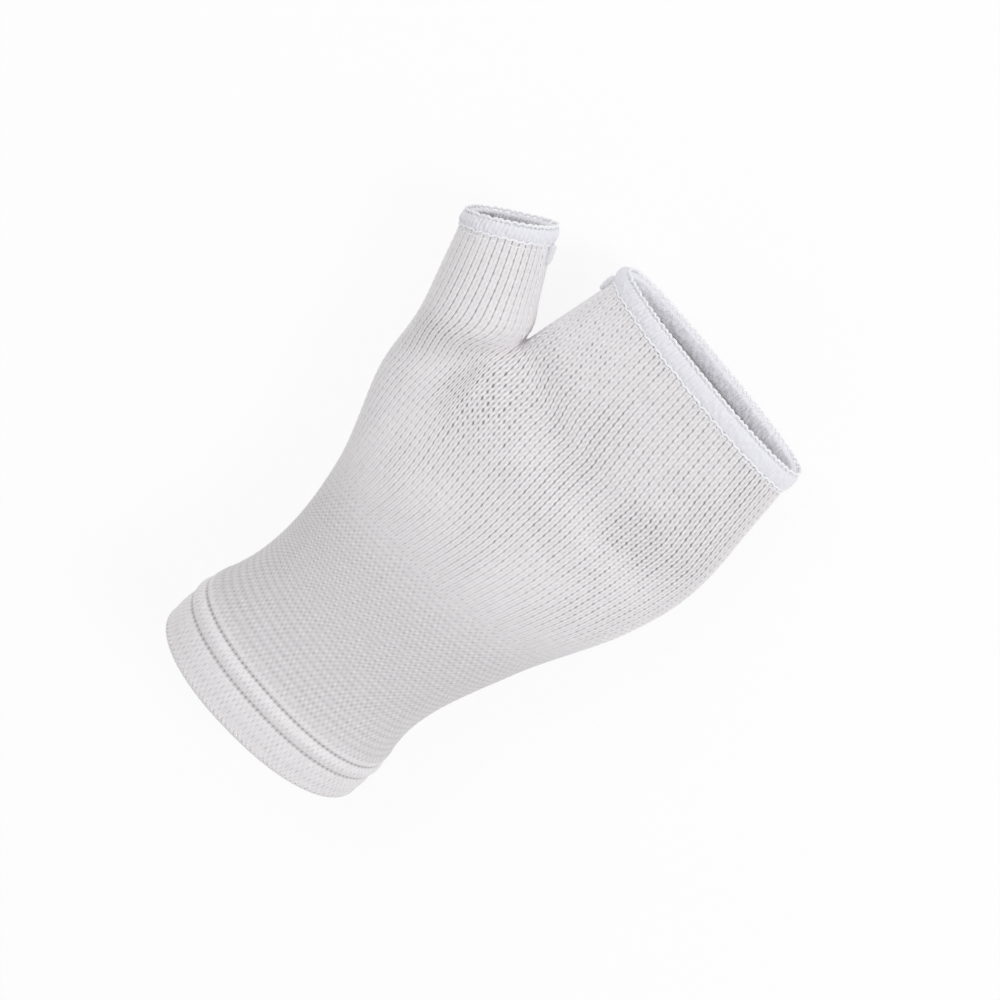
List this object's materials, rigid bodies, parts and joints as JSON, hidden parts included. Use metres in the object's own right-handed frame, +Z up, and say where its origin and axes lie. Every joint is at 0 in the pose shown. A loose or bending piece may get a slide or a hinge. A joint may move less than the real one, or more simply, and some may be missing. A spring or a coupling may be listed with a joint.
{
  "type": "wrist support sleeve",
  "caption": "Knitted elastic palm and wrist support sleeve with a thumb stall, a turned wrist hem and overlocked finger and thumb openings.",
  "frame": {"origin": "centre of the part's box in plan, on the surface that the back of the sleeve lies on", "axes": "+X from the wrist to the fingers, +Y to the thumb side, +Z up out of the palm"},
  "size_m": [0.1454, 0.1046, 0.0419],
  "materials": {
    "knit": "white cotton and elastic rib knit",
    "overlock_thread": "bright white textured polyester thread",
    "hem_thread": "white sewing thread drawn into the knit",
    "seam_thread": "white textured polyester thread",
    "elastic_yarn": "covered elastic yarn"
  },
  "bodies": {
    "root": {"knit_sleeve": "knit", "turned_hem": "knit", "hem_stitch_row_outer": "hem_thread", "hem_stitch_row_inner": "hem_thread", "finger_edge_overlock": "overlock_thread", "finger_edge_needle_thread": "overlock_thread", "thumb_edge_overlock": "overlock_thread", "thumb_edge_needle_thread": "overlock_thread", "fork_seam": "seam_thread", "finger_seam_tack": "seam_thread", "thumb_seam_tack": "seam_thread", "elastic_yarns": "elastic_yarn"}
  },
  "joints": []
}
